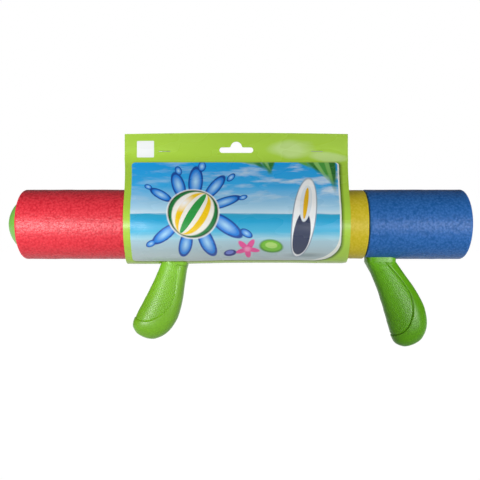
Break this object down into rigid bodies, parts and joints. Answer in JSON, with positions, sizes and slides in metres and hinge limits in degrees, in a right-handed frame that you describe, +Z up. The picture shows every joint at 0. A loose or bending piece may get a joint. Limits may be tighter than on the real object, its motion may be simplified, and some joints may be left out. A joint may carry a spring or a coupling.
{
  "type": "water squirter",
  "caption": "Foam-covered water pump squirter with a grip on the barrel and a rear grip on its sliding plunger, held in a folded hanging display card.",
  "frame": {"origin": "centre of the jet's mouth at the tip of the nozzle dome, on the barrel axis", "axes": "+X along the barrel from the nozzle to the rear end cap, +Z up to the top edge of the display card with both grips hanging to -Z, +Y across the barrel to the side that holds the grip screws"},
  "size_m": [0.4254, 0.0668, 0.1993],
  "materials": {
    "red_foam": "matte",
    "yellow_foam": "matte",
    "blue_foam": "matte",
    "cap_plastic": "satin",
    "grip_plastic": "satin",
    "tube_plastic": "satin",
    "seal_rubber": "matte",
    "screw_steel": "satin",
    "printed_card": "satin"
  },
  "bodies": {
    "barrel": {"barrel_tube": "tube_plastic", "nozzle_cap": "cap_plastic", "nozzle_gasket": "seal_rubber", "front_foam_sleeve": "red_foam", "middle_foam_sleeve": "yellow_foam", "barrel_gland": "tube_plastic", "front_grip_left_shell": "grip_plastic", "front_grip_right_shell": "grip_plastic", "front_grip_screws": "screw_steel", "header_card": "printed_card", "card_staples": "screw_steel"},
    "piston": {"piston_head": "tube_plastic", "piston_seal": "seal_rubber"},
    "plunger": {"plunger_tube": "tube_plastic", "carrier_tube": "tube_plastic", "carrier_bush": "tube_plastic", "rear_foam_sleeve": "blue_foam", "rear_end_cap": "cap_plastic", "rear_grip_left_shell": "grip_plastic", "rear_grip_right_shell": "grip_plastic", "rear_grip_screws": "screw_steel"}
  },
  "joints": [
    {"name": "plunger_slide", "type": "slide", "parent": "barrel", "child": "piston", "axis": [1, 0, 0], "range_m": [0, 0.2576]},
    {"name": "plunger_swivel", "type": "hinge", "parent": "piston", "child": "plunger", "pos_m": [0.0525, 0, 0], "axis": [1, 0, 0], "continuous": true}
  ]
}
